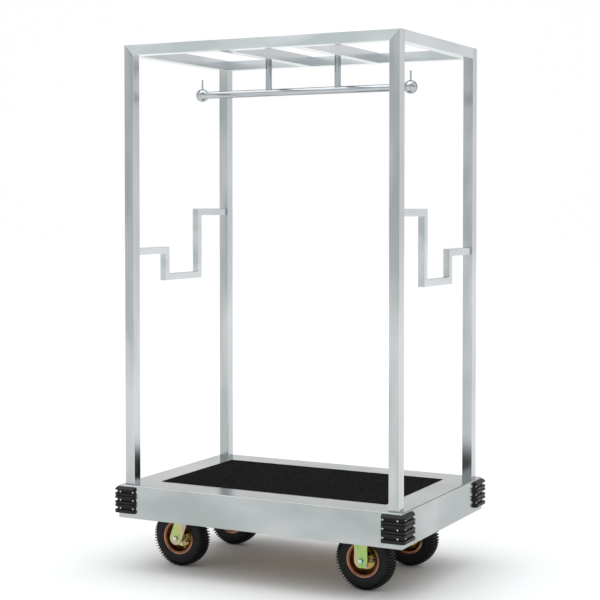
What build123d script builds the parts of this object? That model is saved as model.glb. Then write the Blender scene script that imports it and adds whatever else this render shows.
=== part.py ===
from build123d import *
from math import cos, radians, sin
import os

# Hotel luggage cart: a carpeted deck on four pneumatic castors, with a square-tube
# frame over it, two stepped push handles and a hanging rail.
# X runs along the deck, Y across it and Z up. The origin is on the floor, below the
# middle of the deck. All sizes are in millimetres.

os.makedirs("parts", exist_ok=True)

# ---- Driving dimensions: deck and frame ----
overall_height = 1850
deck_length = 1085
deck_width = 725
deck_bottom = 190
deck_top = 306
sheet = 1.5                    # stainless sheet of the deck shell
fold_radius = 4                # outside radius of the folds along the top
corner_radius = 2              # outside radius of the upright corners
lip_width = 14                 # return flange along the bottom of the skirt
lip_fold = 1.2                 # outside radius of the fold into the flange
window_length = 876            # cut-out in the deck shell that the carpet fills
window_width = 497
carpet_gap = 0.5               # all round, between the carpet and the window
carpet_proud = 2.5             # pile above the stainless border
board_thick = 12.5
board_gap = 8                  # all round, between the board and the skirt

post_size = 38
post_inset = 17                # from the edge of the deck to the face of a post
tube_wall = 1.5
tube_corner = 1.5              # outside radius along the edges of the square tubes
cross_beam_x = 137.5

# ---- Hanging rail ----
rail_z = 1693
rail_radius = 12.5
rail_wall = 1.5
finial_x = 415
finial_radius = 23
finial_socket = 14             # depth of the rail in each finial
hanger_radius = 11
stop_pin_radius = 3
stop_pin_top = 1750

# ---- Push handles, for the left end; the right one is turned half round ----
handle_size = 25
handle_mid_z = 1125.5
handle_low_z = 1028.5
handle_high_z = 1264.5
handle_short_y = -115.5        # the upright below the middle bar
handle_tall_y = 109.5          # the upright below the high bar

# ---- Corner bumpers ----
bumper_bottom = 208
bumper_top = 300
bumper_leg_x = 72
bumper_leg_y = 84
ridge = 14                     # how far the ridges stand out from the skirt
groove = 7                     # how far the floors of the grooves stand out
notch = 11                     # how far the notch in each double ridge stands out
groove_z = (225, 254, 283)     # centres of the three grooves
rivet_near = 12                # from the deck's corner to the nearer rivets
rivet_end_gap = 8              # from the end of a leg to the farther rivets
rivet_radius = 2
rivet_head_radius = 3
rivet_head = 1.6
rivet_round = 0.7              # edge rounding of the heads

# ---- Chassis below the deck board ----
chassis_width = 40
chassis_height = 30
chassis_wall = 2

# ---- Castors ----
wheel_radius = 104
wheel_y = 188
swivel_x = -344                # kingpins of the two swivel castors
trail = 45                     # from a kingpin back to its axle
fixed_x = 337                  # axles of the two fixed castors
castor_height = 262
plate_length = 110
plate_width = 100
plate_thick = 5
plate_corner = 8
bolt_x = 40                    # castor bolts, from the middle of the plate
bolt_y = 30
bolt_radius = 4
bolt_head = 5
bolt_nut = 6.5
bolt_hex_radius = 7.5
leg_gap = 41                   # from the middle of a wheel to the inner face of a leg
leg_thick = 4
leg_end_radius = 24
crown_z = 234                  # underside of a swivel fork's crown
crown_thick = 5
crown_half = 42                # half length of a crown, or of a leg where it meets the plate
rake = 20                      # degrees that the legs of a swivel fork lean
rake_length = 85               # straight part of a leaning leg, from its axle
flare_z = 200                  # where the legs of a fixed fork start to widen
race_radius = 31
race_bore = 14
race_gap = 0.4                 # between the race and the seat above it
seat_height = 5                # seat pressed down from the swivel plate
seat_radius = 36
kingpin_radius = 6
pin_head = 6
pin_head_radius = 11
axle_radius = 6
running_gap = 0.05             # radial, for each shaft in its hole
hole_play = 0.2                # radial, for each bolt in its hole
hex_height = 7
hex_radius = 9
bolt_end = 3                   # thread past the nut of an axle bolt

# ---- Wheels: profiles are (distance from the middle plane, radius) ----
tyre_widest = (30, 78)
tyre_shoulder = (26, 96.5)     # ends of the tread's crown
tread_thick = 8
bead_face = 23.5
bead_radius = 51.3
bead_top = 56
bead_width = 7
belly_widest = (23, 76)        # hollow inside the tyre
belly_shoulder = (19, 89.5)
tube_centre = 74
tube_half_width = 20
tube_half_height = 19.5
tube_skin = 1.8
rim_thick = 2
rim_profile = ((1.1, 16.5), (1.1, 37), (9, 50), (25.4, 50), (27, 59))
rim_bend = 3
rim_bolt_circle = 28
rim_bolt_count = 4
rim_bolt_radius = 3
rim_bolt_hex = 5.5
rim_bolt_head = 4
rim_bolt_end = 2
housing_wall = 2.2             # bearing housing in each half of the rim
housing_end = 20
bearing_radius = 16
bearing_start = 9
bearing_end = 19
bearing_sleeve = 8.5
spacer_radius = 9.5
spacer_start = 20.5
valve_angles = {"front_left": -17, "back_left": 150, "front_right": 4, "back_right": 200}
valve_radius = 3
valve_hole_radius = 4
valve_axial = 12.5
valve_root = 61
valve_elbow = 43
valve_tip = (27, 36)
valve_bend = 6

# ---- Worked out from the above ----
post_x = deck_length / 2 - post_inset - post_size / 2
post_y = deck_width / 2 - post_inset - post_size / 2
post_face_y = post_y - post_size / 2
beam_z = overall_height - post_size / 2
board_top = deck_top - sheet
plate_bottom = castor_height - plate_thick
leg_middle = leg_gap + leg_thick / 2
swivel_axle_x = swivel_x - trail
clear_hole = bolt_radius + hole_play
rim_hole = rim_bolt_radius + hole_play


def write(part, label):
    """Names a finished piece and writes its STEP file."""
    part.label = label
    export_step(part, f"parts/{label}.step")


def left_normal(path, run):
    """Unit normal on the left-hand side of one straight run of a flat path."""
    step = (path[run + 1] - path[run]).normalized()
    return Vector(-step.Y, step.X)


def run_corners(path, run, half):
    """Corners of one run of a right-angled path, mitred where it meets its neighbours."""
    corners = []
    for point, side in ((run, 1), (run + 1, 1), (run + 1, -1), (run, -1)):
        meeting = [i for i in (point - 1, point) if 0 <= i < len(path) - 1]
        across = sum((left_normal(path, i) for i in meeting), Vector(0, 0))
        corners.append(path[point] + across * (half * side))
    return [(corner.X, corner.Y) for corner in corners]


def mitred_tube(plane, path, run, size, wall):
    """Square tube with rounded edges along one run of a right-angled path on a plane."""
    step = path[run + 1] - path[run]
    along = Axis((0, 0, 0), plane.x_dir * step.X + plane.y_dir * step.Y)
    with BuildPart() as tube:
        with BuildSketch(plane):
            Polygon(*run_corners(path, run, size / 2), align=None)
        extrude(amount=size / 2, both=True)
        fillet(tube.edges().filter_by(along), tube_corner)
        with BuildSketch(plane):
            Polygon(*run_corners(path, run, size / 2 - wall), align=None)
        extrude(amount=size / 2 - wall, both=True, mode=Mode.SUBTRACT)
    return tube.part


def group(parts):
    """Several separate solids that share one node."""
    return Compound([solid for part in parts for solid in part.solids()])


# ---------------------------------------------------------------- deck
def make_deck_shell():
    """Folded stainless cover: top border, skirt and return flange."""
    with BuildPart() as shell:
        with BuildSketch(Plane.XY.offset(deck_bottom)):
            RectangleRounded(deck_length, deck_width, corner_radius)
        extrude(amount=deck_top - deck_bottom)
        fillet(shell.faces().sort_by(Axis.Z)[-1].edges(), fold_radius)
        offset(amount=-sheet, openings=shell.faces().sort_by(Axis.Z)[0])
        with BuildSketch(Plane.XY.offset(deck_bottom)):
            Rectangle(deck_length - sheet, deck_width - sheet)
            Rectangle(deck_length - 2 * lip_width, deck_width - 2 * lip_width, mode=Mode.SUBTRACT)
        extrude(amount=sheet)
        underside = shell.faces().sort_by(Axis.Z)[0]
        fillet(underside.outer_wire().edges(), lip_fold)
        with BuildSketch(Plane.XY.offset(deck_top)):
            Rectangle(window_length, window_width)
        extrude(amount=-2 * sheet, mode=Mode.SUBTRACT)
    return shell.part


with BuildPart() as deck_board:
    with BuildSketch(Plane.XY.offset(board_top - board_thick)):
        Rectangle(deck_length - 2 * board_gap, deck_width - 2 * board_gap)
    extrude(amount=board_thick)

with BuildPart() as carpet:
    with BuildSketch(Plane.XY.offset(board_top)):
        Rectangle(window_length - 2 * carpet_gap, window_width - 2 * carpet_gap)
    extrude(amount=sheet + carpet_proud)

write(make_deck_shell(), "deck_shell")
write(deck_board.part, "deck_board")
write(carpet.part, "carpet")


# ---------------------------------------------------------------- chassis
rail_inner_y = post_y - chassis_width / 2
castor_x = {"swivel": swivel_x, "fixed": fixed_x}
bolt_rows = [x + side * bolt_x for x in castor_x.values() for side in (-1, 1)]
bolt_columns = [side * wheel_y + step * bolt_y for side in (-1, 1) for step in (-1, 1)]


def side_rail(y):
    """Chassis tube along one long side, open at its ends."""
    with BuildPart() as tube:
        with BuildSketch(Plane.YZ):
            with Locations((y, castor_height + chassis_height / 2)):
                Rectangle(chassis_width, chassis_height)
                Rectangle(chassis_width - 2 * chassis_wall, chassis_height - 2 * chassis_wall,
                          mode=Mode.SUBTRACT)
        extrude(amount=post_x + chassis_width / 2, both=True)
    return tube.part


def cross_member(x, drilled):
    """Chassis tube between the side rails, with holes below for castor bolts."""
    with BuildPart() as tube:
        with BuildSketch(Plane.XZ):
            with Locations((x, castor_height + chassis_height / 2)):
                Rectangle(chassis_width, chassis_height)
                Rectangle(chassis_width - 2 * chassis_wall, chassis_height - 2 * chassis_wall,
                          mode=Mode.SUBTRACT)
        extrude(amount=rail_inner_y, both=True)
        if drilled:
            with BuildSketch(Plane.XY.offset(castor_height)):
                with Locations(*[(x, y) for y in bolt_columns]):
                    Circle(clear_hole)
            extrude(amount=chassis_wall, mode=Mode.SUBTRACT)
    return tube.part


rails = [side_rail(side * post_y) for side in (-1, 1)]
end_members = [cross_member(side * post_x, False) for side in (-1, 1)]
castor_members = [cross_member(x, True) for x in bolt_rows]
write(group(rails + end_members + castor_members), "chassis_frame")


# ---------------------------------------------------------------- posts and top frame
portal = [Vector(-post_x, deck_top), Vector(-post_x, beam_z), Vector(post_x, beam_z),
          Vector(post_x, deck_top)]
portal_pieces = ("post_{}_left", "beam_{}", "post_{}_right")

for side, y in (("front", -post_y), ("back", post_y)):
    for run, piece in enumerate(portal_pieces):
        tube = mitred_tube(Plane.XZ.offset(-y), portal, run, post_size, tube_wall)
        write(tube, piece.format(side))

top_tubes = {
    "beam_left": -post_x,
    "beam_right": post_x,
    "cross_beam_left": -cross_beam_x,
    "cross_beam_right": cross_beam_x,
}
for name, x in top_tubes.items():
    with BuildPart() as beam:
        with BuildSketch(Plane.XZ):
            with Locations((x, beam_z)):
                RectangleRounded(post_size, post_size, tube_corner)
                Rectangle(post_size - 2 * tube_wall, post_size - 2 * tube_wall,
                          mode=Mode.SUBTRACT)
        extrude(amount=post_face_y, both=True)
    write(beam.part, name)


# ---------------------------------------------------------------- push handles
left_handle = [
    Vector(-post_face_y, handle_mid_z),
    Vector(handle_short_y, handle_mid_z),
    Vector(handle_short_y, handle_low_z),
    Vector(handle_tall_y, handle_low_z),
    Vector(handle_tall_y, handle_high_z),
    Vector(post_face_y, handle_high_z),
]
handles = {"left": left_handle, "right": [Vector(-p.X, p.Y) for p in left_handle]}

for (side, path), x in zip(handles.items(), (-post_x, post_x)):
    runs = [mitred_tube(Plane.YZ.offset(x), path, run, handle_size, tube_wall)
            for run in range(len(path) - 1)]
    write(group(runs), f"handle_{side}")


# ---------------------------------------------------------------- hanging rail
rail_end = finial_x - finial_radius + finial_socket

with BuildPart() as hang_rail:
    with BuildSketch(Plane.YZ):
        with Locations((0, rail_z)):
            Circle(rail_radius)
            Circle(rail_radius - rail_wall, mode=Mode.SUBTRACT)
    extrude(amount=rail_end, both=True)

with BuildPart() as rail_hangers:
    with BuildSketch(Plane.XY.offset(rail_z)):
        with Locations((-cross_beam_x, 0), (cross_beam_x, 0)):
            Circle(hanger_radius)
    extrude(amount=overall_height - post_size - rail_z)
    with BuildSketch(Plane.YZ):
        with Locations((0, rail_z)):
            Circle(rail_radius)
    extrude(amount=rail_end, both=True, mode=Mode.SUBTRACT)

with BuildPart() as rail_finials:
    with Locations((-finial_x, 0, rail_z), (finial_x, 0, rail_z)):
        Sphere(finial_radius)
    with BuildSketch(Plane.YZ):
        with Locations((0, rail_z)):
            Circle(rail_radius)
    extrude(amount=rail_end, both=True, mode=Mode.SUBTRACT)

with BuildPart() as stop_pins:
    with BuildSketch(Plane.XY.offset(rail_z)):
        with Locations((-finial_x, 0), (finial_x, 0)):
            Circle(stop_pin_radius)
    extrude(amount=stop_pin_top - rail_z)
    fillet(stop_pins.faces().group_by(Axis.Z)[-1].edges(), stop_pin_radius * 0.6)
    with Locations((-finial_x, 0, rail_z), (finial_x, 0, rail_z)):
        Sphere(finial_radius, mode=Mode.SUBTRACT)

write(hang_rail.part, "hang_rail")
write(rail_hangers.part, "rail_hangers")
write(group([rail_finials.part, stop_pins.part]), "rail_ends")


# ---------------------------------------------------------------- corner bumpers
skirt_x = deck_length / 2
skirt_y = deck_width / 2
rivets_x = (skirt_x - rivet_near, skirt_x - bumper_leg_x + rivet_end_gap)
rivets_y = (skirt_y - rivet_near, skirt_y - bumper_leg_y + rivet_end_gap)


def ridge_pair(low, high):
    """Outline points of one double ridge between the levels of two groove floors."""
    middle = (low + high) / 2
    return [(groove, low), (ridge - 1.5, low + 1.5), (ridge, low + 3), (ridge, middle - 2.5),
            (notch, middle), (ridge, middle + 2.5), (ridge, high - 3), (ridge - 1.5, high - 1.5),
            (groove, high)]


def bumper_outline():
    """Section of a bumper as (distance out from the skirt, height)."""
    floor = 3.5
    first, second, third = groove_z
    outline = [(0, bumper_bottom), (ridge - 3, bumper_bottom), (ridge, bumper_bottom + 3),
               (ridge, first - floor - 3), (groove, first - floor)]
    outline += ridge_pair(first + floor, second - floor)
    outline += ridge_pair(second + floor, third - floor)
    outline += [(groove, third + floor), (ridge, third + floor + 2.5),
                (ridge, third + floor + 5), (ridge - 8, bumper_top), (0, bumper_top)]
    return outline


def rivet_cylinders(radius, near, far):
    """Cylinders of all the rivets of the front left bumper, between two distances out."""
    with BuildPart() as cylinders:
        with BuildSketch(Plane.XZ.offset(skirt_y + near)):
            with Locations(*[(-x, z) for x in rivets_x for z in groove_z]):
                Circle(radius)
        extrude(amount=far - near)
        with BuildSketch(Plane.YZ.offset(-skirt_x - near)):
            with Locations(*[(-y, z) for y in rivets_y for z in groove_z]):
                Circle(radius)
        extrude(amount=near - far)
    return cylinders.part


with BuildPart() as bumper:
    with BuildLine() as bumper_route:
        FilletPolyline(
            (-skirt_x, -skirt_y + bumper_leg_y, 0),
            (-skirt_x, -skirt_y, 0),
            (-skirt_x + bumper_leg_x, -skirt_y, 0),
            radius=corner_radius,
        )
    start = Plane(bumper_route.line @ 0, x_dir=(-1, 0, 0), z_dir=(0, 1, 0))
    with BuildSketch(start):
        Polygon(*bumper_outline(), align=None)
    sweep(path=bumper_route.line)
    add(rivet_cylinders(rivet_radius, 0, ridge), mode=Mode.SUBTRACT)

with BuildPart() as rivets:
    add(rivet_cylinders(rivet_head_radius, groove, groove + rivet_head))
    fillet(rivets.edges().filter_by(GeomType.CIRCLE), rivet_round)
    add(rivet_cylinders(rivet_radius, 0, groove + rivet_round))

bumper_places = {
    "front_left": [],
    "front_right": [Plane.YZ],
    "back_left": [Plane.XZ],
    "back_right": [Plane.YZ, Plane.XZ],
}


def mirrored(part, planes):
    """Copy of a part, mirrored about each plane in turn."""
    for plane in planes:
        part = part.mirror(plane)
    return part


for corner, planes in bumper_places.items():
    write(mirrored(bumper.part, planes), f"bumper_{corner}")
write(group([mirrored(rivets.part, planes) for planes in bumper_places.values()]),
      "bumper_rivets")


# ---------------------------------------------------------------- castors
def castor_plate(x, y, bore):
    """Mounting plate with four bolt holes and, where bore is given, a kingpin hole."""
    with BuildPart() as plate:
        with BuildSketch(Plane.XY.offset(plate_bottom)):
            with Locations((x, y)):
                RectangleRounded(plate_length, plate_width, plate_corner)
                if bore:
                    Circle(bore, mode=Mode.SUBTRACT)
            with Locations(*[(x + i * bolt_x, y + j * bolt_y) for i in (-1, 1) for j in (-1, 1)]):
                Circle(clear_hole, mode=Mode.SUBTRACT)
        extrude(amount=plate_thick)
    return plate.part


def fork_legs(y, axle_x, outline):
    """Two upright legs with round ends about the axle, one each side of a wheel."""
    with BuildPart() as legs:
        for side in (-1, 1):
            with BuildSketch(Plane.XZ.offset(-y - side * leg_middle)):
                Polygon(*outline, align=None)
                with Locations((axle_x, wheel_radius)):
                    Circle(leg_end_radius)
                    Circle(axle_radius, mode=Mode.SUBTRACT)
            extrude(amount=leg_thick / 2, both=True)
    return legs.part


def fixed_fork(y):
    """Fork of a fixed castor: legs straight down from the mounting plate."""
    half = leg_end_radius
    outline = [
        (fixed_x - half, wheel_radius),
        (fixed_x + half, wheel_radius),
        (fixed_x + half, flare_z),
        (fixed_x + crown_half, plate_bottom),
        (fixed_x - crown_half, plate_bottom),
        (fixed_x - half, flare_z),
    ]
    with BuildPart() as fork:
        add(fork_legs(y, fixed_x, outline))
        add(castor_plate(fixed_x, y, None))
    return fork.part


def swivel_fork(y):
    """Fork of a swivel castor: legs raked back from the crown to the axle."""
    axle = Vector(swivel_axle_x, wheel_radius)
    up = Vector(0, 1).rotate(Axis.Z, -rake)
    across = Vector(1, 0).rotate(Axis.Z, -rake) * leg_end_radius
    bend = axle + up * rake_length
    crown_top = crown_z + crown_thick
    outline = [axle - across, axle + across, bend + across,
               Vector(swivel_x + crown_half, crown_top),
               Vector(swivel_x - crown_half, crown_top), bend - across]
    with BuildPart() as fork:
        add(fork_legs(y, swivel_axle_x, [(point.X, point.Y) for point in outline]))
        with BuildSketch(Plane.XY.offset(crown_z)):
            with Locations((swivel_x, y)):
                Rectangle(2 * crown_half, 2 * (leg_gap + leg_thick))
                Circle(kingpin_radius + running_gap, mode=Mode.SUBTRACT)
        extrude(amount=crown_thick)
    return fork.part


def ring(x, y, bottom, height, outer, inner):
    """Upright ring about a kingpin."""
    with BuildPart() as body:
        with BuildSketch(Plane.XY.offset(bottom)):
            with Locations((x, y)):
                Circle(outer)
                Circle(inner, mode=Mode.SUBTRACT)
        extrude(amount=height)
    return body.part


def swivel_plate(y):
    """Mounting plate of a swivel castor with the raised seat of its ball race."""
    with BuildPart() as plate:
        add(castor_plate(swivel_x, y, kingpin_radius))
        add(ring(swivel_x, y, plate_bottom - seat_height, seat_height, seat_radius, race_bore))
    return plate.part


def swivel_race(y):
    """Ball race between the fork's crown and the seat on the plate."""
    bottom = crown_z + crown_thick
    height = plate_bottom - seat_height - race_gap - bottom
    with BuildPart() as race:
        add(ring(swivel_x, y, bottom, height, race_radius, race_bore))
        fillet(race.edges().filter_by(GeomType.CIRCLE).group_by(SortBy.RADIUS)[-1], height / 3)
    return race.part


with BuildPart() as kingpins:
    for y in (-wheel_y, wheel_y):
        with BuildSketch(Plane.XY.offset(crown_z - race_gap - pin_head)):
            with Locations((swivel_x, y)):
                Circle(pin_head_radius)
        extrude(amount=pin_head)
        with BuildSketch(Plane.XY.offset(crown_z - race_gap)):
            with Locations((swivel_x, y)):
                Circle(kingpin_radius)
        extrude(amount=castor_height - crown_z + race_gap)
        with BuildSketch(Plane.XY.offset(castor_height)):
            with Locations((swivel_x, y)):
                Circle(pin_head_radius)
        extrude(amount=pin_head)
    fillet(kingpins.edges().filter_by(GeomType.CIRCLE).group_by(Axis.Z)[-1], pin_head / 2)


def castor_bolts():
    """Bolts that hold the four castors up to the chassis, each with its weld nut."""
    places = [(x, y) for x in bolt_rows for y in bolt_columns]
    with BuildPart() as bolts:
        with BuildSketch(Plane.XY.offset(plate_bottom)):
            with Locations(*places):
                Circle(bolt_radius)
        extrude(amount=plate_thick + chassis_wall + bolt_nut)
        with BuildSketch(Plane.XY.offset(plate_bottom)):
            with Locations(*places):
                RegularPolygon(bolt_hex_radius, 6)
        extrude(amount=-bolt_head)
    with BuildPart() as nuts:
        with BuildSketch(Plane.XY.offset(castor_height + chassis_wall)):
            with Locations(*places):
                RegularPolygon(bolt_hex_radius, 6)
                Circle(bolt_radius, mode=Mode.SUBTRACT)
        extrude(amount=bolt_nut)
    return group([bolts.part, nuts.part])


def axle_set(x, side):
    """Axle bolt with its head outboard, its nut inboard and a spacer at each side."""
    y = side * wheel_y
    outer = leg_gap + leg_thick
    axle = Plane((x, y, wheel_radius), x_dir=(1, 0, 0), z_dir=(0, side, 0))
    with BuildPart() as bolt:
        with BuildSketch(axle.offset(-outer - hex_height - bolt_end)):
            Circle(axle_radius)
        extrude(amount=2 * outer + hex_height + bolt_end)
        with BuildSketch(axle.offset(outer)):
            RegularPolygon(hex_radius, 6)
        extrude(amount=hex_height)
        chamfer(bolt.faces().sort_by(Axis.Y)[-1 if side > 0 else 0].edges(), 1)
    with BuildPart() as nut:
        with BuildSketch(axle.offset(-outer)):
            RegularPolygon(hex_radius, 6)
            Circle(axle_radius, mode=Mode.SUBTRACT)
        extrude(amount=-hex_height)
    with BuildPart() as spacers:
        for start, length in ((spacer_start, leg_gap - spacer_start),
                              (-leg_gap, leg_gap - spacer_start)):
            with BuildSketch(axle.offset(start)):
                Circle(spacer_radius)
                Circle(axle_radius, mode=Mode.SUBTRACT)
            extrude(amount=length)
    return group([bolt.part, nut.part, spacers.part])


rows = {"front": -1, "back": 1}

for row, side in rows.items():
    write(swivel_fork(side * wheel_y), f"fork_{row}_left")
    write(swivel_race(side * wheel_y), f"race_{row}_left")
    write(axle_set(swivel_axle_x, side), f"axle_{row}_left")
    write(fixed_fork(side * wheel_y), f"fork_{row}_right")
write(group([axle_set(fixed_x, side) for side in rows.values()]), "fixed_axles")
write(group([swivel_plate(side * wheel_y) for side in rows.values()]), "swivel_plates")
write(group([kingpins.part]), "kingpins")
write(castor_bolts(), "castor_bolts")


# ---------------------------------------------------------------- wheels
def section_plane(x, side, outward, angle=90):
    """Plane through an axle: its x runs along the axle and its y out along a radius."""
    turn = radians(angle)
    return Plane(
        (x, side * wheel_y, wheel_radius),
        x_dir=(0, outward, 0),
        z_dir=(outward * sin(turn), 0, -outward * cos(turn)),
    )


def face_plane(x, side, offset=0):
    """Plane across an axle, facing outboard, at a distance from the wheel's middle."""
    middle = Plane((x, side * wheel_y, wheel_radius), x_dir=(1, 0, 0), z_dir=(0, side, 0))
    return middle.offset(offset)


def axle_line(x, side):
    """Axis of a wheel."""
    return Axis((x, side * wheel_y, wheel_radius), (0, 1, 0))


def make_tyre(x, side):
    """Open-bellied tyre carcass with a rounded tread and a bead at each side."""
    shoulder = tyre_shoulder
    belly = belly_shoulder
    bead_toe = bead_face - bead_width
    with BuildPart() as tyre:
        with BuildSketch(section_plane(x, side, 1)):
            with BuildLine():
                ThreePointArc(shoulder, tyre_widest, (bead_face, bead_top))
                Polyline((bead_face, bead_top), (bead_face, bead_radius),
                         (bead_toe, bead_radius), (bead_toe, bead_top))
                ThreePointArc((bead_toe, bead_top), belly_widest, belly)
                mirror(about=Plane.YZ)
                ThreePointArc((-shoulder[0], shoulder[1]), (0, wheel_radius), shoulder)
                ThreePointArc((-belly[0], belly[1]), (0, wheel_radius - tread_thick), belly)
            make_face()
        revolve(axis=axle_line(x, side))
    return tyre.part


def make_inner_tube(x, side, angle):
    """Inflated inner tube with its valve, bent outboard inside the rim."""
    with BuildPart() as tube:
        with BuildSketch(section_plane(x, side, 1)):
            with Locations((0, tube_centre)):
                Ellipse(tube_half_width, tube_half_height)
                Ellipse(tube_half_width - tube_skin, tube_half_height - tube_skin,
                        mode=Mode.SUBTRACT)
        revolve(axis=axle_line(x, side))
        with BuildLine(section_plane(x, side, side, angle)) as stem:
            FilletPolyline(
                (valve_axial, valve_root),
                (valve_axial, valve_elbow),
                valve_tip,
                radius=valve_bend,
            )
        with BuildSketch(Plane(stem.line @ 0, z_dir=stem.line % 0)):
            Circle(valve_radius)
        sweep(path=stem.line)
    return tube.part


def make_rim_half(x, side, outward, valve_angle=None):
    """Pressed half of a split rim with its bearing housing; outward is its direction in Y."""
    housing_start = rim_profile[0][0]
    with BuildPart() as rim:
        with BuildSketch(section_plane(x, side, outward)):
            with BuildLine():
                FilletPolyline(*rim_profile, radius=rim_bend)
            trace(line_width=rim_thick)
            with Locations((housing_start, bearing_radius)):
                Rectangle(housing_end - housing_start, housing_wall, align=Align.MIN)
        revolve(axis=axle_line(x, side))
        with BuildSketch(face_plane(x, side)):
            with PolarLocations(rim_bolt_circle, rim_bolt_count):
                Circle(rim_hole)
        extrude(amount=2 * rim_thick, both=True, mode=Mode.SUBTRACT)
        if valve_angle is not None:
            across = section_plane(x, side, outward, valve_angle)
            foot = across.from_local_coords(Vector(valve_axial, 0))
            with BuildSketch(Plane(foot, z_dir=across.y_dir)):
                Circle(valve_hole_radius)
            extrude(amount=valve_root, mode=Mode.SUBTRACT)
    return rim.part


def make_bearings(x, side):
    """Two ball bearings as plain rings, with the sleeve that spaces them."""
    lengths = ((-bearing_end, -bearing_start, bearing_radius),
               (-bearing_start, bearing_start, bearing_sleeve),
               (bearing_start, bearing_end, bearing_radius))
    rings = []
    for low, high, outer in lengths:
        with BuildPart() as piece:
            with BuildSketch(face_plane(x, side, low)):
                Circle(outer)
                Circle(axle_radius + running_gap, mode=Mode.SUBTRACT)
            extrude(amount=high - low)
        rings.append(piece.part)
    return group(rings)


def make_rim_bolts(x, side):
    """Bolts through both halves of a rim, heads outboard, each with its nut."""
    with BuildPart() as bolts:
        with BuildSketch(face_plane(x, side, -rim_seat - rim_bolt_head - rim_bolt_end)):
            with PolarLocations(rim_bolt_circle, rim_bolt_count):
                Circle(rim_bolt_radius)
        extrude(amount=2 * rim_seat + rim_bolt_head + rim_bolt_end)
        with BuildSketch(face_plane(x, side, rim_seat)):
            with PolarLocations(rim_bolt_circle, rim_bolt_count):
                RegularPolygon(rim_bolt_hex, 6)
        extrude(amount=rim_bolt_head)
    with BuildPart() as nuts:
        with BuildSketch(face_plane(x, side, -rim_seat)):
            with PolarLocations(rim_bolt_circle, rim_bolt_count):
                RegularPolygon(rim_bolt_hex, 6)
                Circle(rim_bolt_radius, mode=Mode.SUBTRACT)
        extrude(amount=-rim_bolt_head)
    return group([bolts.part, nuts.part])


rim_seat = rim_profile[0][0] + rim_thick / 2

for row, side in rows.items():
    for end, x in (("left", swivel_axle_x), ("right", fixed_x)):
        corner = f"{row}_{end}"
        angle = valve_angles[corner]
        write(make_tyre(x, side), f"tyre_{corner}")
        write(make_inner_tube(x, side, angle), f"inner_tube_{corner}")
        write(make_rim_half(x, side, side, angle), f"rim_outer_{corner}")
        write(make_rim_half(x, side, -side), f"rim_inner_{corner}")
        write(make_bearings(x, side), f"bearings_{corner}")
        write(make_rim_bolts(x, side), f"rim_bolts_{corner}")
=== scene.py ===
import math

import bmesh
import bpy
import numpy as np
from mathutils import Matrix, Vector


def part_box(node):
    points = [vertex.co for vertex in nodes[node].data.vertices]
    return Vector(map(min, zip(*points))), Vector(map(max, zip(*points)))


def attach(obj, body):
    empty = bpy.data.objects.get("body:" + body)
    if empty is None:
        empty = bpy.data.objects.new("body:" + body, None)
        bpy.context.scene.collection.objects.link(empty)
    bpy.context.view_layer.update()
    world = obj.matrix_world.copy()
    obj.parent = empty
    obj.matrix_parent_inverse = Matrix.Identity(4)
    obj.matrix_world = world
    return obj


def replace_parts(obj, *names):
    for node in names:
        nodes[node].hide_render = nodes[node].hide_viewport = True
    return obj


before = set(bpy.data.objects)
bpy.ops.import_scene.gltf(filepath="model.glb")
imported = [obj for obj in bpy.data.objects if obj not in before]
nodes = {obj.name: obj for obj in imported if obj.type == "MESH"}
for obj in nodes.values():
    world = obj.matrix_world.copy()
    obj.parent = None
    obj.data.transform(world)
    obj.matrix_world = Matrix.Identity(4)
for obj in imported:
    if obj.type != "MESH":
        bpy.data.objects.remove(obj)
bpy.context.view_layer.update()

# Hotel luggage cart. Everything is in metres, in the frame of the CAD model: the origin
# is on the floor below the middle of the deck, X along the deck and Z up.

MM = 0.001
HEADING = 0.4785          # of the camera, from +Y towards -X, in radians
TILT = 0.0292             # of the camera, below the horizontal, in radians
CORNERS = ("front_left", "back_left", "front_right", "back_right")


def middle(node):
    """Middle of a CAD node's box."""
    low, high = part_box(node)
    return (low + high) / 2


# ------------------------------------------------------------------ node helpers
class Network:
    """A node tree that is built up one step at a time."""

    def __init__(self, tree):
        self.tree = tree

    def add(self, kind, **inputs):
        """New node; a keyword sets or links the input of that name."""
        node = self.tree.nodes.new("ShaderNode" + kind)
        for name, value in inputs.items():
            self.feed(node.inputs[name.replace("_", " ")], value)
        return node

    def feed(self, socket, value):
        if isinstance(value, bpy.types.NodeSocket):
            self.tree.links.new(value, socket)
        else:
            socket.default_value = value

    def ramp(self, factor, *stops):
        """Colour ramp; each stop is (position, colour or grey)."""
        node = self.add("ValToRGB", Fac=factor)
        elements = node.color_ramp.elements
        while len(elements) < len(stops):
            elements.new(0.5)
        for element, (position, colour) in zip(elements, stops):
            element.position = position
            if not isinstance(colour, tuple):
                colour = (colour, colour, colour)
            element.color = (*colour, 1)
        return node.outputs["Color"]

    def math(self, operation, a, b=0.5):
        node = self.add("Math")
        node.operation = operation
        self.feed(node.inputs[0], a)
        self.feed(node.inputs[1], b)
        return node.outputs[0]

    def mix(self, factor, a, b, blend="MIX"):
        node = self.add("Mix")
        node.data_type = "RGBA"
        node.blend_type = blend
        self.feed(node.inputs[0], factor)
        self.feed(node.inputs[6], a)
        self.feed(node.inputs[7], b)
        return node.outputs[2]

    def span(self, value, low, high):
        """Maps 0..1 to low..high."""
        node = self.add("MapRange", Value=value)
        node.inputs["To Min"].default_value = low
        node.inputs["To Max"].default_value = high
        return node.outputs["Result"]


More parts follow.
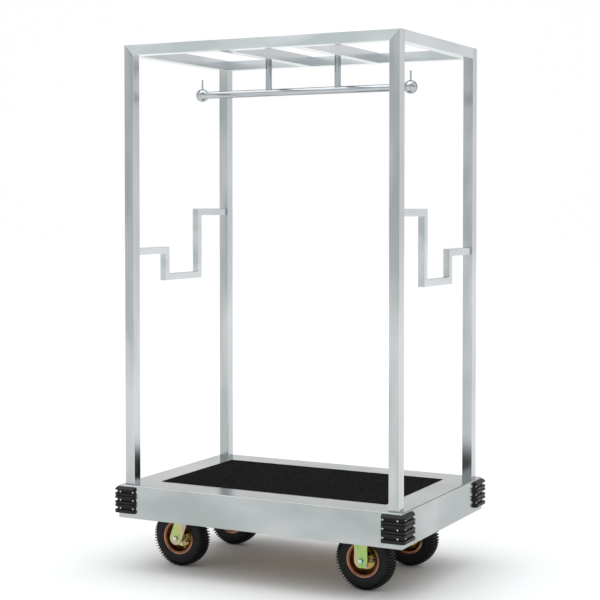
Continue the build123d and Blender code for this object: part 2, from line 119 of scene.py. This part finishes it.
class Surface(Network):
    """A principled material."""

    def __init__(self, name, **values):
        self.material = bpy.data.materials.new(name)
        self.material.use_nodes = True
        super().__init__(self.material.node_tree)
        self.shader = self.tree.nodes["Principled BSDF"]
        for socket, value in values.items():
            self.shader.inputs[socket.replace("_", " ")].default_value = value

    def place(self, scale=(1, 1, 1)):
        """Coordinates on the piece, in metres times scale."""
        coordinates = self.add("TexCoord").outputs["Object"]
        return self.add("Mapping", Vector=coordinates, Scale=scale).outputs["Vector"]

    def facing(self, axis):
        """How squarely a face looks along one axis, either way: 0 to 1."""
        apart = self.add("SeparateXYZ", Vector=self.add("NewGeometry").outputs["Normal"])
        return self.math("ABSOLUTE", apart.outputs[axis])

    def noise(self, vector, scale, detail=2.0, roughness=0.5, distortion=0.0):
        node = self.add("TexNoise", Vector=vector, Scale=scale, Detail=detail,
                        Roughness=roughness, Distortion=distortion)
        return node.outputs["Fac"]

    def bump(self, height, distance, strength=1.0, below=None):
        node = self.add("Bump", Height=height, Distance=distance, Strength=strength)
        if below is not None:
            self.feed(node.inputs["Normal"], below)
        return node.outputs["Normal"]

    def finish(self, colour=None, roughness=None, normal=None):
        for socket, value in (("Base Color", colour), ("Roughness", roughness),
                              ("Normal", normal)):
            if value is not None:
                self.feed(self.shader.inputs[socket], value)
        return self.material


# ------------------------------------------------------------------ materials
# Noise scales on brushed steel, across its lines and along them.
GRAIN = (1400, 3)         # the brush lines themselves
STREAK = (160.0, 1.6)     # bundles of lines
BAND = (9.0, 2.6)         # slow changes of tone


def lined(grain, scales):
    """Scale that stretches a pattern along one axis."""
    across, along = scales
    return [along if axis == grain else across for axis in "xyz"]


def brushed_steel(name, grain, tone):
    """Satin stainless with brush lines along one axis, smudges and a painted highlight on rounded
    edges.

    The faces at the cart's ends get painted light: a colour a little lighter than that of the faces at
    its sides.
    """
    surface = Surface(name, Metallic=1.0)
    fine = surface.noise(surface.place(lined(grain, GRAIN)), 1.0, 3.0, 0.6)
    streak = surface.noise(surface.place(lined(grain, STREAK)), 1.0, 3.0, 0.6)
    band = surface.noise(surface.place(lined(grain, BAND)), 1.0, 2.0)
    smudge = surface.noise(surface.place(), 5.0, 4.0, 0.6, 0.4)
    tint = surface.ramp(band, (0.38, (tone * 0.72, tone * 0.77, tone * 0.77)),
                        (0.62, (tone * 1.12, tone * 1.12, tone * 1.14)))
    colour = surface.mix(surface.span(streak, 0.0, 0.5), tint,
                         (tone * 0.78, tone * 0.81, tone * 0.81, 1))
    endways, sideways, level = [surface.facing(axis) for axis in "XYZ"]
    # Painted light: faces looking along X, at the cart's ends, are coloured a little lighter and
    # bluer.
    colour = surface.mix(surface.math("MULTIPLY", endways, 0.45), colour,
                         (tone * 1.16, tone * 1.17, tone * 1.22, 1))
    # A rounded corner looks squarely along no axis; there the colour is painted lighter, a painted
    # highlight.
    square = surface.math("MAXIMUM", surface.math("MAXIMUM", endways, sideways), level)
    painted_edge_highlight = surface.math("MULTIPLY", surface.math("SUBTRACT", 0.98, square), 4.0)
    painted_edge_highlight = surface.math("MINIMUM", surface.math("MAXIMUM", painted_edge_highlight, 0.0), 0.8)
    colour = surface.mix(painted_edge_highlight, colour, (0.90, 0.91, 0.92, 1))
    rough = surface.math("ADD", surface.span(fine, 0.13, 0.23), surface.span(smudge, -0.03, 0.05))
    return surface.finish(colour, rough, surface.bump(fine, 0.00003, 0.35))


def skirt_steel(name):
    """Brushed stainless for the folded deck: the grain follows each face's long side."""
    tone = 0.51
    surface = Surface(name, Metallic=1.0)
    along_x = surface.noise(surface.place(lined("x", GRAIN)), 1.0, 3.0, 0.6)
    along_y = surface.noise(surface.place(lined("y", GRAIN)), 1.0, 3.0, 0.6)
    fine = surface.mix(surface.math("GREATER_THAN", surface.facing("X"), 0.5), along_x, along_y)
    smudge = surface.noise(surface.place(), 4.0, 4.0, 0.6, 0.5)
    cloud = surface.noise(surface.place((2.2, 2.2, 5.0)), 1.0, 3.0, 0.5, 0.6)
    tint = surface.ramp(cloud, (0.36, (tone * 0.72, tone * 0.78, tone * 0.76)),
                        (0.64, (tone * 1.06, tone * 1.08, tone * 1.08)))
    colour = surface.mix(surface.span(smudge, 0.0, 0.3), tint,
                         (tone * 0.88, tone * 0.92, tone * 0.93, 1))
    rough = surface.math("ADD", surface.span(fine, 0.15, 0.25), surface.span(smudge, -0.03, 0.05))
    return surface.finish(colour, rough, surface.bump(fine, 0.00003, 0.25))


def chrome(name):
    """Polished plate with faint handling marks."""
    surface = Surface(name, Metallic=1.0)
    surface.shader.inputs["Specular Tint"].default_value = (0.2, 0.21, 0.22, 1)
    marks = surface.noise(surface.place(), 60.0, 5.0, 0.65)
    film = surface.noise(surface.place(), 9.0, 3.0)
    colour = surface.ramp(film, (0.3, (0.42, 0.44, 0.46)), (0.7, (0.52, 0.54, 0.55)))
    return surface.finish(colour, surface.span(marks, 0.04, 0.12),
                          surface.bump(marks, 0.00002, 0.2))


def zinc_bright(name):
    """Bright zinc plate on bolts and rivets."""
    surface = Surface(name, Metallic=1.0)
    spangle = surface.noise(surface.place(), 420.0, 3.0)
    colour = surface.ramp(spangle, (0.3, (0.50, 0.51, 0.52)), (0.7, (0.72, 0.73, 0.73)))
    return surface.finish(colour, surface.span(spangle, 0.22, 0.38),
                          surface.bump(spangle, 0.00004, 0.4))


def zinc_yellow(name):
    """Yellow passivated zinc: iridescent green, gold and pink patches."""
    surface = Surface(name, Metallic=0.85)
    patch = surface.noise(surface.place((1, 1, 0.4)), 30.0, 3.0, 0.55, 0.8)
    fine = surface.noise(surface.place(), 300.0, 4.0, 0.6)
    colour = surface.ramp(
        patch,
        (0.36, (0.20, 0.50, 0.16)),
        (0.44, (0.42, 0.56, 0.14)),
        (0.51, (0.52, 0.46, 0.22)),
        (0.60, (0.48, 0.34, 0.32)),
    )
    colour = surface.mix(surface.span(fine, 0.0, 0.25), colour, (0.55, 0.53, 0.38, 1))
    return surface.finish(colour, surface.span(fine, 0.24, 0.42), surface.bump(fine, 0.00005, 0.3))


def rim_bronze(name):
    """Bronze passivated rim: gold in the dish, dark copper on the seat, a painted highlight on the
    lip.
    """
    outermost = 0.062
    surface = Surface(name, Metallic=0.95)
    apart = surface.add("SeparateXYZ", Vector=surface.place())
    squares = [surface.math("MULTIPLY", apart.outputs[axis], apart.outputs[axis]) for axis in "XZ"]
    radius = surface.math("SQRT", surface.math("ADD", *squares))
    patch = surface.noise(surface.place(), 35.0, 3.0, 0.6, 0.6)
    wander = surface.math("ADD", surface.math("MULTIPLY", radius, 1 / outermost),
                          surface.span(patch, -0.035, 0.035))
    colour = surface.ramp(
        wander,
        (0.30, (0.44, 0.36, 0.12)),
        (0.58, (0.40, 0.27, 0.08)),
        (0.70, (0.34, 0.15, 0.06)),
        (0.80, (0.15, 0.055, 0.028)),
        (0.90, (0.22, 0.085, 0.045)),
        # Painted highlight: the light band round the rolled lip.
        (0.975, (0.60, 0.34, 0.25)),
    )
    fine = surface.noise(surface.place(), 260.0, 4.0)
    return surface.finish(colour, surface.span(fine, 0.10, 0.22), surface.bump(fine, 0.00005, 0.3))


def rubber(name, base, rough, grain, gloss=0.35):
    """Moulded black rubber with a fine matt grain and a little dust."""
    surface = Surface(name)
    surface.shader.inputs["Specular IOR Level"].default_value = gloss
    skin = surface.noise(surface.place(), grain, 4.0, 0.65)
    dust = surface.noise(surface.place(), 25.0, 5.0, 0.6)
    colour = surface.ramp(dust, (0.35, base), (0.75, base * 1.9))
    roughness = surface.math("ADD", surface.span(skin, rough, rough + 0.16),
                             surface.span(dust, -0.03, 0.06))
    return surface.finish(colour, roughness, surface.bump(skin, 0.00012, 0.5))


def carpet_pile(name):
    """Black cut pile: dark fibres, lighter tips and tracks left by traffic."""
    surface = Surface(name, Roughness=0.95)
    surface.shader.inputs["Specular IOR Level"].default_value = 0.03
    fibre = surface.noise(surface.place(), 900.0, 4.0, 0.7)
    tuft = surface.noise(surface.place(), 150.0, 3.0, 0.75)
    track = surface.noise(surface.place((1, 2.2, 1)), 7.0, 3.0, 0.55, 0.7)
    colour = surface.ramp(surface.math("MULTIPLY", fibre, tuft), (0.16, 0.0010), (0.26, 0.0075),
                          (0.36, (0.050, 0.044, 0.040)))
    colour = surface.mix(surface.span(track, 0.0, 0.6), colour, (0.0022, 0.0020, 0.0020, 1))
    clumps = surface.bump(tuft, 0.0012, 0.8)
    return surface.finish(colour, surface.span(tuft, 0.85, 1.0),
                          surface.bump(fibre, 0.0006, 0.7, clumps))


def powder_coat(name):
    """Black powder coat of the hidden chassis."""
    surface = Surface(name)
    peel = surface.noise(surface.place(), 500.0, 3.0)
    colour = surface.ramp(surface.noise(surface.place(), 12.0, 4.0), (0.3, 0.016), (0.8, 0.035))
    return surface.finish(colour, surface.span(peel, 0.40, 0.58), surface.bump(peel, 0.00008, 0.5))


def plywood(name):
    """Bare plywood: face veneer grain along the board."""
    surface = Surface(name)
    veneer = surface.noise(surface.place((2.5, 38, 38)), 1.0, 6.0, 0.6, 1.2)
    colour = surface.ramp(veneer, (0.3, (0.30, 0.18, 0.09)), (0.55, (0.46, 0.31, 0.17)),
                          (0.75, (0.56, 0.41, 0.25)))
    return surface.finish(colour, surface.span(veneer, 0.55, 0.75), surface.bump(veneer, 0.0002, 0.4))


# ------------------------------------------------------------------ mesh helpers
def solid_mesh(name, vertices, faces, material, sharp):
    """New mesh with its faces turned outward, smooth except at sharper edges."""
    mesh = bpy.data.meshes.new(name)
    mesh.from_pydata([tuple(v) for v in vertices], [], faces)
    turned = bmesh.new()
    turned.from_mesh(mesh)
    bmesh.ops.recalc_face_normals(turned, faces=turned.faces)
    turned.to_mesh(mesh)
    turned.free()
    mesh.shade_smooth()
    mesh.set_sharp_from_angle(angle=math.radians(sharp))
    mesh.materials.append(material)
    return mesh


def piece(name, vertices, faces, material, sharp=35):
    """New mesh object, smooth except at edges sharper than the given angle."""
    mesh = solid_mesh(name, vertices, faces, material, sharp)
    thing = bpy.data.objects.new(name, mesh)
    bpy.context.scene.collection.objects.link(thing)
    return thing


def loop_faces(rings, size, closed=True):
    """Quads between successive rings of points; closed joins the last ring to the first."""
    faces = []
    for ring in range(rings if closed else rings - 1):
        start, after = ring * size, (ring + 1) % rings * size
        for i in range(size):
            j = (i + 1) % size
            faces.append((start + i, start + j, after + j, after + i))
    return faces


def rounded(points, radius, steps=4, closed=False):
    """Outline with each corner replaced by a curve that starts a radius away from it."""
    points = [Vector(p) for p in points]
    count = len(points)
    outline = []
    for i, point in enumerate(points):
        if not closed and i in (0, count - 1):
            outline.append(point)
            continue
        before, after = points[i - 1], points[(i + 1) % count]
        reach = min(radius, (before - point).length / 2, (after - point).length / 2)
        start = point + (before - point).normalized() * reach
        end = point + (after - point).normalized() * reach
        for step in range(steps + 1):
            t = step / steps
            outline.append(start * (1 - t) ** 2 + point * (2 * t * (1 - t)) + end * t ** 2)
    return outline


# ------------------------------------------------------------------ corner bumpers
def bumper_section():
    """Closed section as (distance out, height above the bumper's foot), in metres."""
    ridge, groove, notch, height = 14.0, 5.5, 9.5, 92.0
    floors = (17.0, 46.0, 75.0)          # middle heights of the riveted grooves
    half = 3.2                           # half the height of a groove's floor
    outline = [(0.3, 0), (ridge - 2, 0), (ridge, 2), (ridge, floors[0] - half - 2.5),
               (groove, floors[0] - half)]
    for low, high in ((floors[0] + half, floors[1] - half), (floors[1] + half, floors[2] - half)):
        centre = (low + high) / 2
        outline += [(groove, low), (ridge, low + 2), (ridge, centre - 2.6), (notch, centre),
                    (ridge, centre + 2.6), (ridge, high - 2), (groove, high)]
    outline += [(groove, floors[2] + half), (ridge, floors[2] + half + 2.5),
                (ridge, height - 8), (5.5, height), (0.3, height)]
    return [Vector((out, up)) * MM for out, up in rounded(outline, 1.3, 3, closed=True)]


DOME_STEPS = (0, 0.15, 0.35, 0.65, 1, 2.5, 4.5, 7, 9)          # in dome lengths


def bumper_leg(length):
    """(distance from the leg's end, share of the full thickness) at each station of its dome."""
    dome = 7 * MM
    thinnest = 0.05
    stations = []
    for t in DOME_STEPS:
        depth = min(t * dome, length)
        fade = math.sqrt(max(0.0, 1 - max(0.0, 1 - depth / dome) ** 2))
        stations.append((depth, max(fade, thinnest)))
    return stations


def bumper(corner, material):
    """Ribbed rubber moulding round one corner of the skirt, with domed ends."""
    node = f"bumper_{corner}"
    low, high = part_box(node)
    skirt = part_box("deck_shell")[1].xy
    side_x = 1 if corner.endswith("right") else -1
    side_y = 1 if corner.startswith("back") else -1
    inner = Vector((min(abs(low.x), abs(high.x)), min(abs(low.y), abs(high.y))))
    leg = skirt - inner
    bend = 2 * MM
    turns = 8
    stations = []
    for depth, fade in bumper_leg(leg.y - bend):
        stations.append((Vector((skirt.x, skirt.y - leg.y + depth)), Vector((1, 0)), fade))
    centre = skirt - Vector((bend, bend))
    for step in range(turns + 1):
        turn = math.radians(90 * step / turns)
        out = Vector((math.cos(turn), math.sin(turn)))
        stations.append((centre + out * bend, out, 1.0))
    for depth, fade in reversed(bumper_leg(leg.x - bend)):
        stations.append((Vector((skirt.x - leg.x + depth, skirt.y)), Vector((0, 1)), fade))
    outline = bumper_section()
    vertices = []
    for place, out, fade in stations:
        for p in outline:
            at = place + out * (p.x * fade)
            vertices.append((at.x * side_x, at.y * side_y, low.z + p.y))
    size = len(outline)
    faces = loop_faces(len(stations), size, closed=False)
    faces += [tuple(range(size)), tuple(range(len(vertices) - 1, len(vertices) - size - 1, -1))]
    if side_x * side_y > 0:
        faces = [tuple(reversed(face)) for face in faces]
    thing = piece(f"rubber_bumper_{corner}", vertices, faces, material, 40)
    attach(thing, "root")
    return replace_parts(thing, node)


# ------------------------------------------------------------------ tyres
TYRE_PITCHES = 62         # lugs round the tyre
LUG_STATIONS = (0.0, 0.10, 0.34, 0.44)          # in pitches
LUG_TOP = (1, 2)          # stations of a pitch that stand at the full height


def half_tyre():
    """Outside of half a tyre from bead to crown, in mm.

    Each row is its distance from the middle and its radius, first on the top of a lug
    and then on the carcass between lugs.
    """
    wall = [(17.0, 51.3), (23.5, 51.3), (24.2, 55.0), (25.6, 58.5), (26.8, 61.5), (27.2, 62.3),
            (28.2, 65.5), (29.2, 69.5), (29.7, 73.0), (30.0, 73.7), (30.0, 75.3), (29.7, 76.0),
            (29.7, 79.5), (29.0, 83.0), (28.2, 85.5)]
    lug = [((28.6, 86.8), (27.8, 86.4)), ((28.9, 91.5), (26.9, 88.6)), ((28.2, 96.5), (25.6, 91.0)),
           ((26.4, 100.2), (23.8, 93.0)), ((23.0, 101.8), (21.5, 94.6)), ((16.0, 103.1), (16.0, 96.2))]
    groove = [(15.2, 96.4), (13.4, 96.7)]
    centre = [((12.6, 103.4), (12.6, 96.8)), ((6.5, 103.8), (6.5, 97.2)), ((0.8, 104.0), (0.8, 97.4))]
    rows = [(place, place) for place in wall] + lug
    rows += [(place, place) for place in groove] + centre
    return rows


def tyre_mesh(material):
    """Tread, sidewalls and beads of a tyre about its own middle, axle along Y."""
    half = half_tyre()
    rows = half + [((-top[0], top[1]), (-low[0], low[1])) for top, low in reversed(half)]
    belly = [(17.0, 56.0), (22.0, 68.0), (22.5, 79.0), (18.0, 88.0)]
    inside = [(-across, radius) for across, radius in belly] + [(0.0, 91.0)] + belly[::-1]
    rows += [(place, place) for place in inside]
    vertices = []
    for pitch in range(TYRE_PITCHES):
        for station, share in enumerate(LUG_STATIONS):
            turn = 2 * math.pi * (pitch + share) / TYRE_PITCHES
            for top, low in rows:
                across, radius = top if station in LUG_TOP else low
                vertices.append((radius * math.cos(turn) * MM, across * MM,
                                 radius * math.sin(turn) * MM))
    rings = TYRE_PITCHES * len(LUG_STATIONS)
    return solid_mesh("tyre_tread", vertices, loop_faces(rings, len(rows)), material, 32)


def shared(mesh, name, place, body, node, flip=False):
    """Object that shows a shared mesh at a place, for one wheel."""
    thing = bpy.data.objects.new(name, mesh)
    bpy.context.scene.collection.objects.link(thing)
    thing.location = place
    if flip:
        thing.rotation_euler = (0, 0, math.pi)
    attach(thing, body)
    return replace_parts(thing, node)


# ------------------------------------------------------------------ rims
def rim_mesh(name, material):
    """Pressed rim half that faces -Y: bearing housing, dished disc, seat and rolled flange."""
    thick = 2.0
    rings = 96
    spine = rounded([(20, 17.2), (2.2, 17.2), (1.4, 18.6), (1.1, 36), (4.5, 40.0), (6.5, 43.0),
                     (10.5, 46.4), (17.0, 48.8), (24.8, 50.2), (25.8, 56.5), (27.0, 58.9),
                     (28.0, 58.6)], 2.2, 5)
    normals = []
    for i in range(len(spine)):
        run = (spine[min(i + 1, len(spine) - 1)] - spine[max(i - 1, 0)]).normalized()
        normals.append(Vector((-run.y, run.x)))
    section = [p + n * thick / 2 for p, n in zip(spine, normals)]
    section += [p - n * thick / 2 for p, n in zip(reversed(spine), reversed(normals))]
    vertices = []
    for ring in range(rings):
        turn = 2 * math.pi * ring / rings
        for p in section:
            vertices.append((p.y * math.cos(turn) * MM, -p.x * MM, p.y * math.sin(turn) * MM))
    return solid_mesh(name, vertices, loop_faces(rings, len(section)), material, 50)


# In degrees about each axle, from +X towards +Z.
VALVE_ANGLES = {"front_left": -17, "back_left": 150, "front_right": 4, "back_right": 200}


def valve_cap(corner, material):
    """Knurled metal cap on the tip of a wheel's valve."""
    side = 1 if corner.startswith("back") else -1
    outline = [(-5.0, 3.6), (-3.8, 4.2), (1.6, 4.2), (1.6, 3.2), (4.6, 2.9), (5.4, 2.2)]
    knurl = 0.45
    rings = 32
    vertices = []
    for ring in range(rings):
        turn = 2 * math.pi * ring / rings
        for along, radius in outline:
            if radius > 4:
                radius -= knurl * (ring % 2)
            vertices.append((radius * math.cos(turn) * MM, radius * math.sin(turn) * MM, along * MM))
    size = len(outline)
    faces = [face for face in loop_faces(rings, size) if face[1] % size]
    faces.append(tuple(ring * size for ring in range(rings - 1, -1, -1)))
    faces.append(tuple(ring * size + size - 1 for ring in range(rings)))
    cap = piece(f"valve_cap_{corner}", vertices, faces, material, 30)
    angle = math.radians(VALVE_ANGLES[corner])
    radial = Vector((math.cos(angle), 0, math.sin(angle)))
    outboard = Vector((0, side, 0))
    reach, axial = 35.2 * MM, 28.5 * MM
    cap.location = middle(f"tyre_{corner}") + radial * reach + outboard * axial
    lean = outboard * 14.5 - radial * 7          # the valve leans in towards the axle
    cap.rotation_euler = lean.to_track_quat("Z", "Y").to_euler()
    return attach(cap, f"wheel_{corner}")


# ------------------------------------------------------------------ carpet
def carpet(material):
    """Cut-pile mat inlaid in the deck: a grid of small tufts with rolled-over edges."""
    low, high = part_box("carpet")
    spacing = 2.4 * MM
    margin = 0.3 * MM
    shoulder = 4 * MM          # width of the rolled edge
    along, across = int((high.x - low.x) / spacing), int((high.y - low.y) / spacing)
    x = np.linspace(low.x + margin, high.x - margin, along)
    y = np.linspace(low.y + margin, high.y - margin, across)
    grid_x, grid_y = np.meshgrid(x, y)
    draw = np.random.default_rng(7)
    tufts = draw.random(grid_x.shape) * 1.1 * MM
    edge = np.minimum.reduce([grid_x - low.x, high.x - grid_x, grid_y - low.y, high.y - grid_y])
    roll = 1.6 * MM * np.clip(1 - edge / shoulder, 0, 1) ** 2
    jitter = (draw.random((2, *grid_x.shape)) - 0.5) * 0.9 * MM
    inner = edge > 1 * MM
    grid_x = grid_x + jitter[0] * inner
    grid_y = grid_y + jitter[1] * inner
    grid_z = high.z - tufts - roll
    vertices = np.stack([grid_x, grid_y, grid_z], -1).reshape(-1, 3)
    index = np.arange(vertices.shape[0]).reshape(grid_x.shape)
    quads = np.stack([index[:-1, :-1], index[:-1, 1:], index[1:, 1:], index[1:, :-1]], -1)
    rim = np.concatenate([index[0, :], index[1:, -1], index[-1, -2::-1], index[-2:0:-1, 0]])
    skirt = vertices[rim].copy()
    skirt[:, 2] = low.z + 0.2 * MM
    base = len(vertices)
    count = len(rim)
    walls = [(int(rim[i]), base + i, base + (i + 1) % count, int(rim[(i + 1) % count]))
             for i in range(count)]
    faces = quads.reshape(-1, 4).tolist() + walls
    thing = piece("carpet_pile", np.concatenate([vertices, skirt]), faces, material,
                  180)
    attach(thing, "root")
    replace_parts(thing, "carpet")
    return thing


# ------------------------------------------------------------------ dress the frame
def dress(material, *names):
    """Gives the named CAD nodes a material in place of their own."""
    for name in names:
        slots = nodes[name].data.materials
        slots.clear()
        slots.append(material)


def dress_parts():
    """Materials of every CAD node that is shown as it is."""
    # Painted light and shade: these three copies of one steel differ in tone, the front and back beams
    # painted lighter and the uprights darker.
    upright = brushed_steel("stainless_upright", "z", 0.55)
    lengthways = brushed_steel("stainless_lengthways", "x", 0.84)
    crossways = brushed_steel("stainless_crossways", "y", 0.62)
    dress(upright, *[name for name in nodes if name.startswith("post_")])
    dress(lengthways, "beam_front", "beam_back")
    dress(crossways, "beam_left", "beam_right", "cross_beam_left", "cross_beam_right")
    dress(crossways, "handle_left", "handle_right")
    dress(skirt_steel("stainless_deck"), "deck_shell")
    dress(plywood("deck_plywood"), "deck_board")
    dress(powder_coat("chassis_coat"), "chassis_frame")
    dress(chrome("rail_chrome"), "hang_rail", "rail_hangers", "rail_ends")
    plain = zinc_bright("zinc_bright")
    dress(plain, "bumper_rivets", "castor_bolts", "fixed_axles", "kingpins")
    dress(plain, *[name for name in nodes if name.startswith(("axle_", "rim_bolts_", "bearings_"))])
    dress(zinc_yellow("zinc_yellow"), "swivel_plates",
          *[name for name in nodes if name.startswith(("fork_", "race_"))])
    dress(rubber("tube_rubber", 0.02, 0.5, 300.0),
          *[name for name in nodes if name.startswith("inner_tube_")])


def dress_wheels():
    """Tyres, rim halves and valve caps of the four wheels."""
    tread = tyre_mesh(rubber("tyre_rubber", 0.0035, 0.50, 700.0, 0.3))
    bronze = rim_bronze("rim_bronze")
    rim = rim_mesh("rim_half", bronze)
    plain = zinc_bright("zinc_cap")
    for corner in CORNERS:
        body = f"wheel_{corner}"
        place = middle(f"tyre_{corner}")
        front = corner.startswith("front")
        shared(tread, f"tyre_tread_{corner}", place, body, f"tyre_{corner}")
        shared(rim, f"rim_outside_{corner}", place, body, f"rim_outer_{corner}",
               flip=not front)
        shared(rim, f"rim_inside_{corner}", place, body, f"rim_inner_{corner}",
               flip=front)
        valve_cap(corner, plain)


# ------------------------------------------------------------------ studio
def sun(name, towards, strength, spread):
    """Very soft overhead light; spread is its apparent size in degrees."""
    data = bpy.data.lights.new(name, "SUN")
    data.energy = strength
    data.angle = math.radians(spread)
    light = bpy.data.objects.new(name, data)
    bpy.context.scene.collection.objects.link(light)
    light.rotation_euler = Vector(towards).to_track_quat("-Z", "Y").to_euler()


def pale_floor():
    """Pale matt floor just below the wheels."""
    reach, gap = 30, 0.5 * MM
    mesh = bpy.data.meshes.new("floor")
    mesh.from_pydata([(-reach, -reach, 0), (reach, -reach, 0), (reach, reach, 0),
                      (-reach, reach, 0)], [], [(0, 1, 2, 3)])
    mesh.materials.append(Surface("floor_pale", Roughness=0.9).finish((0.90, 0.90, 0.90, 1)))
    ground = bpy.data.objects.new("floor", mesh)
    bpy.context.scene.collection.objects.link(ground)
    ground.location.z = -gap


def sky():
    """White room, dimmer half way up and behind the camera, for the metal to reflect."""
    world = bpy.data.worlds.new("studio")
    world.use_nodes = True
    bpy.context.scene.world = world
    network = Network(world.node_tree)
    towards = network.add("TexCoord").outputs["Generated"]
    height = network.add("SeparateXYZ", Vector=towards).outputs["Z"]
    light = network.ramp(height, (0.0, 1.0), (0.16, 1.0), (0.34, 0.62), (0.52, 0.34),
                         (0.7, 0.75), (0.9, 1.25))
    ahead = network.add("VectorMath")
    ahead.operation = "DOT_PRODUCT"
    network.feed(ahead.inputs[0], towards)
    network.feed(ahead.inputs[1], (-math.sin(HEADING), math.cos(HEADING), 0))
    front = network.add("MapRange", Value=ahead.outputs["Value"], From_Min=-0.3, From_Max=1.0)
    shade = network.mix(front.outputs["Result"], (0.80, 0.835, 0.85, 1), (1.0, 1.0, 1.0, 1))
    background = world.node_tree.nodes["Background"]
    network.feed(background.inputs["Color"], network.mix(1.0, light, shade, "MULTIPLY"))


def studio():
    """Floor, sky and two suns."""
    pale_floor()
    sky()
    sun("key", (0.45, 0.5, -1.0), 1.1, 70)
    sun("fill", (-0.7, -0.3, -1.0), 0.8, 70)


def camera():
    """Camera at the reference view: near eye height, turned and tipped a little down."""
    data = bpy.data.cameras.new("camera")
    data.sensor_width = 36
    data.lens = 87.4
    data.shift_y = -1 / 12
    data.clip_end = 200
    view = bpy.data.objects.new("camera", data)
    bpy.context.scene.collection.objects.link(view)
    view.location = (2.3769, -4.6040, 1.2814)
    view.rotation_euler = (math.pi / 2 - TILT, 0, HEADING)
    bpy.context.scene.camera = view


camera()
studio()
dress_parts()
dress_wheels()
bumper_rubber = rubber("bumper_rubber", 0.0035, 0.30, 260.0, 0.28)
for corner in CORNERS:
    bumper(corner, bumper_rubber)
carpet(carpet_pile("carpet_pile"))
bpy.context.scene.view_settings.view_transform = "Standard"

bpy.context.view_layer.update()
